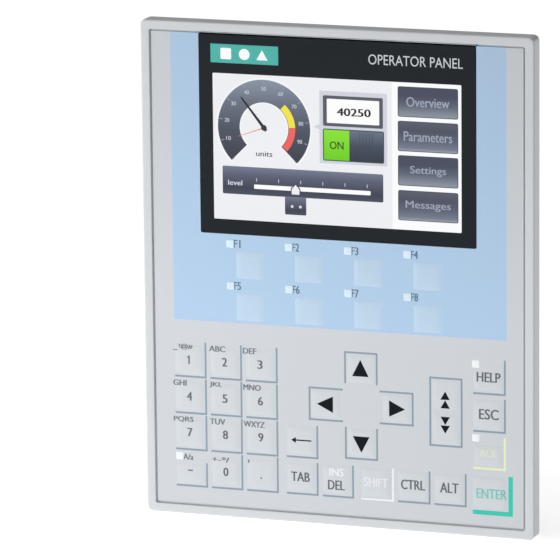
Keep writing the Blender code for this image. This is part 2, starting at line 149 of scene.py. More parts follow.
class Wire:  # one value in a material, so that its sums read as sums
    def __init__(self, look, socket):
        self.look = look
        self.socket = socket

    def does(self, operation, *others):
        return self.look.node("ShaderNodeMath", {"operation": operation}, dict(enumerate((self, *others))))

    def __add__(self, other):
        return self.does("ADD", other)

    __radd__ = __add__

    def __sub__(self, other):
        return self.does("SUBTRACT", other)

    def __rsub__(self, other):
        return self.look.node("ShaderNodeMath", {"operation": "SUBTRACT"}, {0: other, 1: self})

    def __mul__(self, other):
        return self.does("MULTIPLY", other)

    __rmul__ = __mul__

    def __truediv__(self, other):
        return self.does("DIVIDE", other)

    def __rtruediv__(self, other):
        return self.look.node("ShaderNodeMath", {"operation": "DIVIDE"}, {0: other, 1: self})

    def __mod__(self, other):
        return self.does("FLOORED_MODULO", other)

    def held(self):  # kept between 0 and 1
        return self.look.node("ShaderNodeMath", {"operation": "ADD", "use_clamp": True}, {0: self, 1: 0.0})

    def within(self, low, high, soft=0.06):  # 1 from low to high
        return ((self - low) / soft + 0.5).held() * ((high - self) / soft + 0.5).held()


class Look:  # one material and its nodes
    def __init__(self, name, roughness=0.5, metallic=0.0, **fixed):
        self.made = bpy.data.materials.new(name)
        self.made.use_nodes = True
        self.tree = self.made.node_tree
        self.shader = self.tree.nodes["Principled BSDF"]
        self.give("Roughness", roughness)
        self.give("Metallic", metallic)
        for socket, value in fixed.items():
            self.give(socket.replace("_", " "), value)

    def feed(self, socket, value):
        if isinstance(value, Wire):
            self.tree.links.new(value.socket, socket)
        else:
            socket.default_value = value

    def give(self, socket, value):
        self.feed(self.shader.inputs[socket], value)

    def node(self, kind, settings=None, inputs=None, output=0):
        made = self.tree.nodes.new(kind)
        for key, value in (settings or {}).items():
            if key == "stops":
                ramp = made.color_ramp.elements
                while len(ramp) < len(value):
                    ramp.new(0.5)
                for stop, (position, colour) in zip(ramp, value):
                    stop.position, stop.color = position, colour
            else:
                setattr(made, key, value)
        for key, value in (inputs or {}).items():
            self.feed(made.inputs[key], value)
        return Wire(self, made.outputs[output])

    def point(self):
        return self.node("ShaderNodeTexCoord", output="Object")

    def across(self):  # right, depth and up in millimetres
        return [self.node("ShaderNodeSeparateXYZ", {}, {0: self.point()}, axis) * 1000 for axis in range(3)]

    def noise(self, scale, detail=3.0, stretch=(1, 1, 1)):
        spread = self.node("ShaderNodeVectorMath", {"operation": "MULTIPLY"}, {0: self.point(), 1: stretch})
        return self.node("ShaderNodeTexNoise", {}, {"Vector": spread, "Scale": scale, "Detail": detail})

    def mix(self, mask, first, second):  # the first colour where the mask is 0
        return self.node("ShaderNodeMix", {"data_type": "RGBA"}, {0: mask, 6: first, 7: second}, 2)

    def ramp(self, value, stops):
        return self.node("ShaderNodeValToRGB", {"stops": stops}, {0: value})

    def grain(self, height, depth):  # a bump this many millimetres deep
        bump = self.node("ShaderNodeBump", {}, {"Height": height, "Distance": depth * mm, "Strength": 1.0})
        self.give("Normal", bump)


def shaded(colour, by):  # a colour made darker or lighter
    return (*(min(1.0, part * by) for part in colour[:3]), 1.0)


def paintedTopShade(look, colour, z, rise=0.0012):  # painted shade: the colour a little deeper towards the top, by this share for each millimetre, in place of light falling off
    return look.mix((z * rise + 0.03).held(), colour, (0, 0, 0, 1))


def moulded(name, colour, roughness=0.45, size=900.0, depth=0.02, spread=0.06, **fixed):
    # A skin with a fine grain, a little uneven in colour and in gloss
    look = Look(name, **fixed)
    fine, broad = look.noise(size * 1.6, 4.0), look.noise(22.0, 3.0)
    look.give("Base Color", look.mix(broad, shaded(colour, 1 - spread), shaded(colour, 1 + spread)))
    look.give("Roughness", roughness + (fine - 0.5) * 0.16 + (broad - 0.5) * 0.08)
    look.grain(fine, depth)
    return look


def paintedFrame():
    look = Look("framePaint", Coat_Weight=0.12, Coat_Roughness=0.3)
    x, depth, z = look.across()
    fine, broad = look.noise(1700.0, 4.0), look.noise(22.0, 3.0)
    # painted shade: the frame's colour darkens a little towards the top
    look.give("Base Color", paintedTopShade(look, look.mix(broad, tone(211, 214, 217), tone(217, 220, 223)), z))
    look.give("Roughness", 0.42 + (fine - 0.5) * 0.16 + (broad - 0.5) * 0.08)
    look.grain(fine, 0.03)
    return look


def printedFoil():
    # One polyester foil: light grey, with a blue area round the display and paler fields on its keys, a
    # painted highlight along each field's left edge, and painted shade towards the top
    foil = {
        "grey": tone(209, 213, 218), "blue": tone(176, 207, 237), "field": tone(192, 217, 238),
        "key": tone(213, 218, 223), "fieldHighlight": tone(214, 228, 240), "cloud": tone(196, 202, 209),
        "blueArea": (-64.3, 65.3, -19.1, 90.0), "rows": (10.95, -5.05), "firstField": -39.4, "step": 23.0,
        "fieldX": (0.3, 10.8), "fieldZ": (-13.0, -2.9), "highlightX": (-0.3, 0.25), "fieldsX": (-40.0, 42.0),
        "padFace": -6.51, "padRise": 0.08,
    }
    look = Look("foilPrint", Coat_Weight=0.15, Coat_Roughness=0.28)
    x, depth, z = look.across()
    x0, x1, z0, z1 = foil["blueArea"]
    blue = x.within(x0, x1) * z.within(z0, z1)
    column = (x - foil["firstField"]) % foil["step"]
    low, high = foil["fieldZ"]
    rows = [z.within(level + low, level + high) for level in foil["rows"]]
    fields = column.within(*foil["fieldX"]) * x.within(*foil["fieldsX"]) * (rows[0] + rows[1])
    # painted highlight: a thin pale line along the left edge of each field, where light would catch the pad's
    # edge
    edge = column.within(*foil["highlightX"], 0.2) * x.within(*foil["fieldsX"]) * (rows[0] + rows[1])
    raised = ((foil["padFace"] - depth) / foil["padRise"]).held()
    colour = look.mix(blue, foil["grey"], foil["blue"])
    colour = look.mix(fields * 0.8, colour, foil["field"])
    colour = look.mix((edge * 0.45).held(), colour, foil["fieldHighlight"])
    colour = look.mix(raised * (1 - blue) * 0.6, colour, foil["key"])
    broad, fine = look.noise(14.0, 2.0), look.noise(2600.0, 3.0)
    # painted shade: the foil's colour darkens a little towards the top
    colour = paintedTopShade(look, colour, z, 0.0018)
    look.give("Base Color", look.mix(((broad - 0.5) * 0.10 + 0.05).held(), colour, foil["cloud"]))
    look.give("Roughness", 0.44 + (fine - 0.5) * 0.12 + (broad - 0.5) * 0.05)
    look.grain(fine, 0.006)
    return look


def ink(name, colour, roughness=0.5, shine=0.5):
    # Screen print: a flat layer with a slightly broken surface
    look = Look(name, Specular_IOR_Level=shine)
    fine = look.noise(3200.0, 2.0)
    look.give("Base Color", look.mix(fine, shaded(colour, 0.96), shaded(colour, 1.04)))
    look.give("Roughness", roughness + (fine - 0.5) * 0.15)
    look.grain(fine, 0.003)
    return look


def windowGlass():
    look = Look("windowGlass", Specular_IOR_Level=0.14)
    broad, fine = look.noise(9.0, 2.0), look.noise(700.0, 2.0)
    look.give("Base Color", look.mix(broad, tone(19, 25, 30), tone(24, 31, 37)))
    look.give("Roughness", 0.07 + broad * 0.03 + (fine - 0.5) * 0.02)
    return look


display = {"glow": 0.9, "cell": 0.2, "cellOpening": (0.02, 0.18), "cellEdge": 0.03}


def lit(name, colour):
    # A lit part of the picture: mostly light of its own, through the matrix of the display
    look = Look(name, 0.2, Specular_IOR_Level=0.28)
    x, depth, z = look.across()
    opening = (*display["cellOpening"], display["cellEdge"])
    cells = (x % display["cell"]).within(*opening) * (z % display["cell"]).within(*opening)
    if callable(colour):
        colour = colour(look, x, z)
    look.give("Base Color", look.mix(cells * 0.1 + 0.02, (0, 0, 0, 1), colour))
    look.give("Emission Color", colour)
    look.give("Emission Strength", display["glow"])
    return look


def fading(high, low, stops):
    # A colour that runs down a part of the picture, from its high to its low edge
    def colour(look, x, z):
        return look.ramp((high - z) / (high - low), stops)

    return colour


def dotted(look, x, z):
    broad = look.noise(30.0, 2.0)
    return look.mix(broad, tone(234, 235, 239), tone(240, 241, 244))


def castMetal(name, colour, roughness=0.3, stretch=(1, 1, 1)):
    look = Look(name, metallic=1.0)
    brushed, broad = look.noise(700.0, 4.0, stretch), look.noise(40.0)
    look.give("Base Color", look.mix(broad, shaded(colour, 0.85), shaded(colour, 1.1)))
    look.give("Roughness", roughness + (brushed - 0.5) * 0.25)
    look.grain(brushed, 0.01)
    return look


def circuitBoard():
    look = Look("circuitBoard", Coat_Weight=0.4, Coat_Roughness=0.2)
    x, depth, z = look.across()
    routes = look.node("ShaderNodeTexBrick", {"offset": 0.5}, {
        "Vector": look.point(), "Scale": 160.0, "Color1": (0, 0, 0, 1), "Color2": (0.4, 0.4, 0.4, 1),
        "Mortar": (1, 1, 1, 1), "Mortar Size": 0.05,
    }, "Fac")
    green = look.mix(routes * 0.6, tone(18, 78, 44), tone(40, 118, 68))
    look.give("Base Color", green)
    look.give("Roughness", 0.35 + routes * 0.1)
    look.grain(routes, 0.02)
    return look


def domeFilm():
    look = Look("domeFilm", metallic=0.7)
    broad = look.noise(60.0)
    look.give("Base Color", look.mix(broad, tone(188, 172, 130), tone(206, 194, 160)))
    look.give("Roughness", 0.3 + broad * 0.15)
    look.grain(look.noise(1500.0), 0.005)
    return look


def displayStack(name, low, high, roughness):
    look = Look(name, Coat_Weight=0.5, Coat_Roughness=0.05)
    broad = look.noise(12.0, 1.0)
    look.give("Base Color", look.mix(broad, low, high))
    look.give("Roughness", roughness + broad * 0.08)
    return look


def ratingLabel():
    # A silver foil label with blank fields between thin lines
    look = Look("ratingLabel", metallic=0.25)
    x, depth, z = look.across()
    thin = 0.05  # how soft the edge of a line is
    rules = z.within(44.3, 44.7, thin) + z.within(33.8, 34.2, thin)
    rules = rules + x.within(-0.2, 0.2, thin) * (34.0 - z).held()
    border = 1 - x.within(-33.0, 33.0) * z.within(15.0, 49.0)
    fine = look.noise(900.0)
    sheet = look.mix(fine, tone(196, 198, 200), tone(206, 208, 210))
    look.give("Base Color", look.mix((rules + border * 0.6).held(), sheet, tone(96, 100, 106)))
    look.give("Roughness", 0.34 + (fine - 0.5) * 0.12)
    look.grain(fine, 0.004)
    return look


clear = {"Coat_Weight": 0.5, "Coat_Roughness": 0.1}
looks = {
    "frame": paintedFrame(),
    "foil": printedFoil(),
    "window": windowGlass(),
    "lineBlue": ink("lineBlue", tone(140, 156, 171)),
    "markTeal": ink("markTeal", tone(58, 172, 162)),
    "markWhite": ink("markWhite", tone(246, 248, 248)),
    "titleGrey": ink("titleGrey", tone(200, 204, 208)),
    "lineTeal": ink("lineTeal", tone(38, 204, 180)),
    "textTeal": ink("textTeal", tone(122, 200, 190)),
    "textYellow": ink("textYellow", tone(226, 230, 212)),
    "textWhite": ink("textWhite", tone(232, 234, 240)),
    "lineYellow": ink("lineYellow", tone(236, 242, 196)),
    "lineWhite": ink("lineWhite", tone(243, 244, 248)),
    "inkDark": ink("inkDark", tone(92, 98, 106)),
    "inkSoft": ink("inkSoft", tone(112, 120, 130)),
    "inkBlue": ink("inkBlue", tone(82, 108, 128)),
    "inkBlack": ink("inkBlack", tone(16, 22, 28), 0.6, 0.1),
    "lens": moulded("lensPlastic", tone(216, 236, 249), 0.2, 500.0, 0.01, 0.02, **clear),
    "lensWhite": moulded("lensWhitePlastic", tone(246, 249, 252), 0.2, 500.0, 0.01, 0.02, **clear),
    "guide": moulded("guidePlastic", tone(226, 234, 238), 0.12, 300.0, 0.004, 0.02, Coat_Weight=0.3),
    "plunger": moulded("plungerPlastic", tone(206, 210, 214), 0.4, 900.0, 0.01),
    "housing": moulded("housingPlastic", tone(92, 96, 101), 0.52, 800.0, 0.05, 0.05),
    "gasket": moulded("gasketRubber", tone(38, 39, 41), 0.78, 1500.0, 0.03, 0.1),
    "screw": castMetal("screwSteel", tone(176, 178, 180), 0.3),
    "shield": castMetal("socketShield", tone(200, 201, 200), 0.28, (1, 1, 12)),
    "gold": castMetal("contactGold", tone(226, 188, 110), 0.22),
    "terminal": moulded("terminalPlastic", tone(44, 120, 78), 0.42, 900.0, 0.03),
    "board": circuitBoard(),
    "dome": domeFilm(),
    "label": ratingLabel(),
    "bracket": castMetal("bracketSteel", tone(190, 192, 194), 0.34, (1, 1, 14)),
    "touch": displayStack("touchGlass", tone(60, 68, 70), tone(74, 82, 84), 0.05),
    "panelGlass": displayStack("panelGlass", tone(38, 42, 48), tone(48, 52, 60), 0.12),
    "backlight": displayStack("backlightFrame", tone(226, 226, 222), tone(236, 236, 232), 0.36),
}


print("stage: shapes")


def rect(box):
    x0, x1, z0, z1 = box
    return [(x0, z0), (x1, z0), (x1, z1), (x0, z1)]


def grown(box, by):
    return (box[0] - by, box[1] + by, box[2] - by, box[3] + by)


def centred(width, height, at=(0.0, 0.0)):
    return (at[0] - width / 2, at[0] + width / 2, at[1] - height / 2, at[1] + height / 2)


def arc(centre, radius, start, stop, steps):  # angles in degrees, anticlockwise from the right
    turns = [math.radians(start + (stop - start) * i / steps) for i in range(steps + 1)]
    return [(centre[0] + radius * math.cos(t), centre[1] + radius * math.sin(t)) for t in turns]


def roundRect(box, radius, steps=6):
    x0, x1, z0, z1 = box
    corners = ((x0, z0, 180), (x1, z0, 270), (x1, z1, 0), (x0, z1, 90))
    outline = []
    for x, z, start in corners:
        middle = (x + (radius if x == x0 else -radius), z + (radius if z == z0 else -radius))
        outline += arc(middle, radius, start, start + 90, steps)
    return outline


def circle(centre, radius, sides=32):
    return arc(centre, radius, 0, 360 - 360 / sides, sides - 1)


def bar(start, end, width):  # a straight stroke
    first, last = Vector(start), Vector(end)
    side = (last - first).normalized() * width / 2
    side = Vector((-side.y, side.x))
    return [tuple(first + side), tuple(first - side), tuple(last - side), tuple(last + side)]


def loft(mesh, rings, closed=False):  # rings: (depth, outline) pairs with as many points each
    rows = [[mesh.verts.new((x, y, z)) for x, z in outline] for y, outline in rings]
    for near, far in zip(rows, rows[1:] + (rows[:1] if closed else [])):
        for i in range(len(near)):
            j = (i + 1) % len(near)
            mesh.faces.new((near[i], near[j], far[j], far[i]))
    if not closed:
        mesh.faces.new(rows[0])
        mesh.faces.new(rows[-1])


def finished(name, mesh, look, bend=32):
    # Makes the piece of a bmesh in millimetres
    bmesh.ops.scale(mesh, vec=(mm, mm, mm), verts=mesh.verts)
    bmesh.ops.recalc_face_normals(mesh, faces=mesh.faces)
    data = bpy.data.meshes.new(name)
    mesh.to_mesh(data)
    mesh.free()
    data.shade_smooth()
    data.set_sharp_from_angle(angle=math.radians(bend))
    data.materials.append(looks[look].made)
    piece = bpy.data.objects.new(name, data)
    bpy.context.scene.collection.objects.link(piece)
    return piece


def solid(name, rings, look, closed=False, bend=32):
    mesh = bmesh.new()
    loft(mesh, rings, closed)
    return finished(name, mesh, look, bend)


def prisms(name, outlines, front, back, look):
    mesh = bmesh.new()
    for outline in outlines:
        loft(mesh, [(front, outline), (back, outline)])
    return finished(name, mesh, look, 20)


def evaluated(piece):
    graph = bpy.context.evaluated_depsgraph_get()
    return bpy.data.meshes.new_from_object(piece.evaluated_get(graph), depsgraph=graph)


def pierced(name, outlines, front, back, look):
    # A sheet: the first outline with the others as holes in it
    curve = bpy.data.curves.new(name, "CURVE")
    curve.dimensions = "2D"
    curve.fill_mode = "BOTH"
    curve.extrude = (back - front) / 2
    for outline in outlines:
        spline = curve.splines.new("POLY")
        spline.points.add(len(outline) - 1)
        spline.use_cyclic_u = True
        for point, (x, z) in zip(spline.points, outline):
            point.co = (x, z, 0.0, 1.0)
    sheet = bpy.data.objects.new(name, curve)
    bpy.context.scene.collection.objects.link(sheet)
    bpy.context.view_layer.update()
    mesh = bmesh.new()
    mesh.from_mesh(evaluated(sheet))
    bpy.data.objects.remove(sheet)
    bmesh.ops.remove_doubles(mesh, verts=mesh.verts, dist=1e-4)
    for vertex in mesh.verts:
        x, z, y = vertex.co
        vertex.co = (x, (front + back) / 2 + y, z)
    return finished(name, mesh, look, 20)


def refined(node, name, look, width, cuts=(), keep=None, edge=30):
    # A CAD node's shape with its edges rounded, in place of the node
    body = frame["nodes"][node]["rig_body"]
    mesh = bmesh.new()
    mesh.from_mesh(frame["nodes"][node].data)
    bmesh.ops.remove_doubles(mesh, verts=mesh.verts, dist=2e-6)
    flat = math.radians(1.0)
    bmesh.ops.dissolve_limit(mesh, angle_limit=flat, verts=mesh.verts, edges=mesh.edges)
    data = bpy.data.meshes.new(name)
    mesh.to_mesh(data)
    mesh.free()
    piece = bpy.data.objects.new(name, data)
    bpy.context.scene.collection.objects.link(piece)
    steps = [("INTERSECT", keep)] if keep else []
    steps += [("DIFFERENCE", cutter) for cutter in cuts]
    for operation, cutter in steps:
        step = piece.modifiers.new(operation, "BOOLEAN")
        step.operation = operation
        step.solver = "EXACT"
        step.object = cutter
    if width:
        bevel = piece.modifiers.new("edges", "BEVEL")
        bevel.width = width * mm
        bevel.segments = 2
        bevel.limit_method = "ANGLE"
        bevel.angle_limit = math.radians(edge)
        bevel.use_clamp_overlap = True
    soften = piece.modifiers.new("normals", "WEIGHTED_NORMAL")
    soften.keep_sharp = True
    data.shade_smooth()
    bpy.context.view_layer.update()
    shaped = evaluated(piece)
    piece.modifiers.clear()
    piece.data = shaped
    for cutter in [*cuts, *([keep] if keep else [])]:
        bpy.data.objects.remove(cutter)
    shaped.materials.clear()
    shaped.materials.append(looks[look].made)
    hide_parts(node)
    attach(piece, body)
    return piece


def lettered(text, box, front, back, bold=0.12):
    # The letters of a legend as closed strokes that fill the box, as a bmesh in millimetres
    curve = bpy.data.curves.new("letters", "FONT")
    curve.body = text
    curve.size = 10.0
    curve.extrude = 1.0
    curve.resolution_u = 3
    word = bpy.data.objects.new("letters", curve)
    bpy.context.scene.collection.objects.link(word)
    bpy.context.view_layer.update()
    plain = evaluated(word)
    bpy.data.objects.remove(word)
    mesh = bmesh.new()
    copies = ((-bold, 0.0), (bold, 0.004)) if bold else ((0.0, 0.0),)  # two copies side by side are bolder
    for shift, lift in copies:
        one = bmesh.new()
        one.from_mesh(plain)
        bmesh.ops.remove_doubles(one, verts=one.verts, dist=1e-4)
        xs = [vertex.co.x for vertex in one.verts]
        zs = [vertex.co.y for vertex in one.verts]
        x0, x1, z0, z1 = box[0] + bold, box[1] - bold, box[2], box[3]
        for vertex in one.verts:
            x = x0 + (x1 - x0) * (vertex.co.x - min(xs)) / (max(xs) - min(xs)) + shift
            z = z0 + (z1 - z0) * (vertex.co.y - min(zs)) / (max(zs) - min(zs))
            vertex.co = (x, front - lift if vertex.co.z > 0 else back, z)
        copy = bpy.data.meshes.new("letters")
        one.to_mesh(copy)
        one.free()
        mesh.from_mesh(copy)
    return mesh


def gathered(meshes):  # several bmeshes as one
    whole = bmesh.new()
    for mesh in meshes:
        data = bpy.data.meshes.new("part")
        mesh.to_mesh(data)
        mesh.free()
        whole.from_mesh(data)
        bpy.data.meshes.remove(data)
    return whole


printed = {"surface": -6.5, "layer": 0.02}  # the face of foil and window, and the depth of one level of print


def words(name, texts, look, level=0, bold=0.0):
    # texts: (text, box) pairs printed on the front, as one piece
    front = printed["surface"] - printed["layer"] * (level + 1)
    parts = [lettered(text, box, front, front + printed["layer"], bold) for text, box in texts]
    piece = finished(name, gathered(parts), look, 20)
    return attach(piece, "panel")


def decal(name, outlines, look, level=0):
    thick = printed["layer"]
    front = printed["surface"] - thick * (level + 1)
    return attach(prisms(name, outlines, front, front + thick, look), "panel")


print("stage: frame and foil")
frameSizes = {
    "outer": (152.0, 188.0), "front": -7.0, "corner": 2.2, "edge": 0.7, "recess": (144.8, 180.8),
    "recessCorner": 0.6, "backEase": ((-0.35, 0.0), (-0.1, 0.1), (0.02, 0.35), (11.0, 0.35)),
    "lip": ((-7.2, 0.5), (-7.0, 0.3), (-6.9, 0.14), (-6.7, 0.03), (-6.0, 0.01)),  # depth, how far it opens
}


def tool(name, rings):  # a solid to cut with
    mesh = bmesh.new()
    loft(mesh, rings)
    piece = finished(name, mesh, "frame")
    piece.hide_render = True
    return piece


def frameBlock():  # the outside of the frame with its front edge rounded
    width, height = frameSizes["outer"]
    radius, rings = frameSizes["edge"], []
    for i in range(7):
        turn = math.radians(90 * i / 6)
        inset = radius * (1 - math.sin(turn))
        outline = roundRect(centred(width - 2 * inset, height - 2 * inset), frameSizes["corner"] - inset, 10)
        rings.append((frameSizes["front"] + radius * (1 - math.cos(turn)), outline))
    for depth, inset in frameSizes["backEase"]:
        outline = roundRect(centred(width - 2 * inset, height - 2 * inset), frameSizes["corner"] - inset, 10)
        rings.append((depth, outline))
    return tool("frameBlock", rings)


def recessEdge():  # cuts the lip of the recess, so that its edge is eased
    width, height = frameSizes["recess"]
    rings = []
    for depth, grow in frameSizes["lip"]:
        radius = frameSizes["recessCorner"] + grow
        rings.append((depth, roundRect(centred(width + 2 * grow, height + 2 * grow), radius, 8)))
    return tool("recessEdge", rings)


refined("front_frame", "bezelFrame", "frame", 0, [recessEdge()], frameBlock())

keys = {name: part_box(name) for name in frame["nodes"] if name.startswith("key_")}
keys = {name: (low.x / mm, high.x / mm, low.z / mm, high.z / mm) for name, (low, high) in keys.items()}
padShape = {  # the rings are depth and inset
    "corner": 1.1, "back": -5.9,
    "rings": ((-6.5, 0.0), (-6.52, 0.3), (-6.56, 0.7), (-6.61, 1.15), (-6.65, 1.6), (-6.67, 2.1)),
}
plungerShape = {"front": -5.85, "shoulder": -5.2, "ease": -2.3, "end": -2.0, "stem": 4.8, "tip": 4.2}
lensShape = {  # the rings are depth, inset and corner radius
    "size": 2.9, "hole": 2.66,
    "rings": ((-6.49, 0.0, 0.3), (-6.56, 0.0, 0.3), (-6.6, 0.12, 0.25), (-6.63, 0.5, 0.2)),
}
windowBox = (-53.1, 53.8, 14.7, 90.1)
lenses = [(-41.7 + 23.0 * column, level) for level in (10.95, -5.05) for column in range(4)]
lenses += [(53.5, -28.5), (53.5, -56.4), (-62.7, -71.6)]

foilHoles = [roundRect(box, padShape["corner"]) for box in keys.values()]
foilHoles += [rect(centred(lensShape["hole"], lensShape["hole"], at)) for at in lenses]
window = roundRect(grown(windowBox, 0.12), 0.7, 4)
foilOutline = roundRect(centred(143.5, 179.5), 0.4, 4)
foil = pierced("frontFoil", [foilOutline, window, *foilHoles], -6.5, -6.0, "foil")
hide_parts("front_foil")
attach(foil, "panel")

for number, at in enumerate(lenses, 1):
    outline = []
    for depth, inset, radius in lensShape["rings"]:
        side = lensShape["size"] - 2 * inset
        outline.append((depth, roundRect(centred(side, side, at), radius, 4)))
    lensLook = "lens" if number <= 8 else "lensWhite"
    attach(solid(f"statusLens{number}", outline, lensLook, bend=60), "panel")


print("stage: keys")


def padCorner(inset):  # the corner radius of a pad's ring
    return padShape["corner"] + inset * 0.2


def padInset(box, x, z):  # how far inside a pad's edge a point is, with its round corners
    across, along = min(x - box[0], box[1] - x), min(z - box[2], box[3] - z)
    low, high = 0.0, min(across, along)
    for halving in range(9):
        middle = (low + high) / 2
        radius = padCorner(middle)
        outside = math.hypot(max(middle + radius - across, 0.0), max(middle + radius - along, 0.0)) > radius
        low, high = (low, middle) if outside else (middle, high)
    return (low + high) / 2


def padDepth(box, x, z):  # the depth of a pad's face at a point
    inside = padInset(box, x, z)
    rings = padShape["rings"]
    if inside <= 0:
        return rings[0][0]
    for (depth, start), (deeper, stop) in zip(rings, rings[1:]):
        if inside <= stop:
            return depth + (deeper - depth) * (inside - start) / (stop - start)
    return rings[-1][0]


def crossing(piece):  # bakes the piece's place into its mesh
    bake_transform(piece)


def keyPad(key, box):
    rings = [(padShape["back"], roundRect(box, padShape["corner"]))]
    for depth, inset in padShape["rings"]:
        rings.append((depth, roundRect(grown(box, -inset), padCorner(inset))))
    piece = solid(f"pad_{key}", rings, "foil", bend=60)
    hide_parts(key)
    crossing(piece)
    middle = ((box[0] + box[1]) / 2, (box[2] + box[3]) / 2)
    cap = roundRect(grown(box, -0.4), padShape["corner"], 4)
    stem = roundRect(centred(plungerShape["stem"], plungerShape["stem"], middle), 0.6, 4)
    tip = roundRect(centred(plungerShape["tip"], plungerShape["tip"], middle), 0.5, 4)
    plungerRings = [
        (plungerShape["front"], cap), (plungerShape["shoulder"], cap), (plungerShape["shoulder"], stem),
        (plungerShape["ease"], stem), (plungerShape["end"], tip),
    ]
    plunger = solid(f"plunger_{key}", plungerRings, "plunger")
    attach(plunger, key)


for key, box in keys.items():
    keyPad(key, box)


def legend(key, look, texts=(), shapes=()):
    # What is printed on a pad: it is made 1 mm thick, cut where the pad bends, and laid on the pad's face
    parts = [lettered(text, box, -1.0, 0.0) for text, box in texts]
    if shapes:
        mesh = bmesh.new()
        for outline in shapes:
            loft(mesh, [(-1.0, outline), (0.0, outline)])
        parts.append(mesh)
    mesh = gathered(parts)
    x0, x1, z0, z1 = keys[key]
    insets = [inset for depth, inset in padShape["rings"]]
    insets += [(start + stop) / 2 for start, stop in zip(insets, insets[1:])]
    for inset in insets:
        cuts = [((x0 + inset, 0, 0), (1, 0, 0)), ((x1 - inset, 0, 0), (1, 0, 0))]
        cuts += [((0, 0, z0 + inset), (0, 0, 1)), ((0, 0, z1 - inset), (0, 0, 1))]
        for point, normal in cuts:
            geometry = mesh.verts[:] + mesh.edges[:] + mesh.faces[:]
            bmesh.ops.bisect_plane(mesh, geom=geometry, dist=1e-5, plane_co=point, plane_no=normal)
    bmesh.ops.triangulate(mesh, faces=mesh.faces)
    for vertex in mesh.verts:
        face = padDepth(keys[key], vertex.co.x, vertex.co.z)
        vertex.co.y = face + vertex.co.y + 0.98 if vertex.co.y < -0.5 else face - 0.012
    piece = finished(f"legend_{key}_{look}", mesh, look, 20)
    crossing(piece)


digits = {
    "height": 3.3, "width": 2.1, "columns": (-58.5, -44.4, -30.4), "rows": (-34.4, -48.4, -62.3, -76.6),
    "letters": (("!@#", 5.6), ("ABC", 6.6), ("DEF", 5.4), ("GHI", 5.4), ("JKL", 5.2), ("MNO", 7.0),
                ("PQRS", 8.0), ("TUV", 6.2), ("WXYZ", 8.4)),
    "lettersX": (-65.0, -50.6, -37.2), "lettersZ": (-29.5, -43.4, -57.5), "lettersHeight": 2.2,
}
for number in range(9):
    column, row = number % 3, number // 3
    x, z = digits["columns"][column], digits["rows"][row]
    word, length = digits["letters"][number]
    start, level = digits["lettersX"][column], digits["lettersZ"][row]
    below, above = level - digits["lettersHeight"] / 2, level + digits["lettersHeight"] / 2
    if number == 0:  # a thin figure, and an underscore before its signs
        foot, top, thin = z - 1.65, z + 1.65, 0.28
        figure = [
            (x - thin, foot), (x + thin, foot), (x + thin, top), (x - 0.1, top), (x - 0.9, top - 0.7),
            (x - 0.75, top - 1.0), (x - thin, top - 0.62),
        ]
        underscore = rect((start, start + 2.1, below - 0.4, below - 0.1))
        legend("key_1", "inkDark", shapes=[figure])
        legend("key_1", "inkSoft", [(word, (start + 2.4, start + 2.4 + length, below, above))], [underscore])
        continue
    figure = (str(number + 1), centred(digits["width"], digits["height"], (x, z)))
    legend(f"key_{number + 1}", "inkDark", [figure])
    legend(f"key_{number + 1}", "inkSoft", [(word, (start, start + length, below, above))])

legend("key_case", "inkDark", shapes=[rect(centred(1.9, 0.5, (-58.5, -77.0)))])
legend("key_0", "inkDark", [("0", centred(2.1, 3.3, (-44.4, -76.6)))])
legend("key_0", "inkSoft", [("+-*/", (-50.0, -43.0, -73.0, -71.0))])
legend("key_point", "inkDark", shapes=[circle((-30.4, -78.0), 0.35, 12)])
legend("key_point", "inkSoft", [(",", (-35.7, -35.0, -72.6, -71.2))])
legend("key_tab", "inkDark", [("TAB", centred(7.4, 3.6, (-14.9, -76.3)))])
legend("key_insert", "lineWhite", [("INS", centred(5.6, 3.0, (-0.7, -73.5)))])
legend("key_insert", "inkDark", [("DEL", centred(6.6, 3.6, (-0.8, -78.5)))])
legend("key_shift", "textWhite", [("SHIFT", centred(9.4, 3.4, (14.7, -76.3)))])
legend("key_ctrl", "inkDark", [("CTRL", centred(9.4, 3.7, (29.1, -76.2)))])
legend("key_alt", "inkDark", [("ALT", centred(7.2, 3.8, (43.2, -76.3)))])
legend("key_enter", "textTeal", [("ENTER", centred(11.8, 3.6, (59.5, -77.4)))])
legend("key_help", "inkDark", [("HELP", centred(9.2, 3.6, (58.4, -33.3)))])
legend("key_esc", "inkDark", [("ESC", centred(7.6, 3.9, (58.5, -47.3)))])
legend("key_ack", "textYellow", [("ACK", centred(6.8, 3.2, (58.3, -62.0)))])
legend("key_backspace", "inkBlack", shapes=[
    [(-18.4, -62.3), (-16.6, -63.4), (-16.6, -61.2)], rect((-16.7, -10.5, -62.55, -62.05)),
])
legend("key_up", "inkBlack", shapes=[[(5.7, -36.3), (12.1, -36.3), (8.9, -30.0)]])
legend("key_down", "inkBlack", shapes=[[(5.8, -59.2), (9.1, -65.3), (12.3, -59.2)]])
legend("key_left", "inkBlack", shapes=[[(-8.2, -47.8), (-1.9, -50.9), (-1.9, -44.7)]])
legend("key_right", "inkBlack", shapes=[[(20.0, -50.8), (26.2, -47.7), (20.0, -44.6)]])
legend("key_page_up", "inkBlack", shapes=[
    [(39.9, low), (43.5, low), (41.7, low + 3.1)] for low in (-42.9, -46.2)
])
legend("key_page_down", "inkBlack", shapes=[
    [(39.9, high), (41.7, high - 3.0), (43.5, high)] for high in (-49.4, -52.7)
])

print("stage: printed lines")
line = 0.7  # width of the printed key lines


def corner(right, low, top, left, width=line):  # a line down the right side of a key and one under it
    half = width / 2
    beside = rect((right - half, right + half, low + half, top))
    under = rect((left, right + half, low - half, low + half))
    return [beside, under]


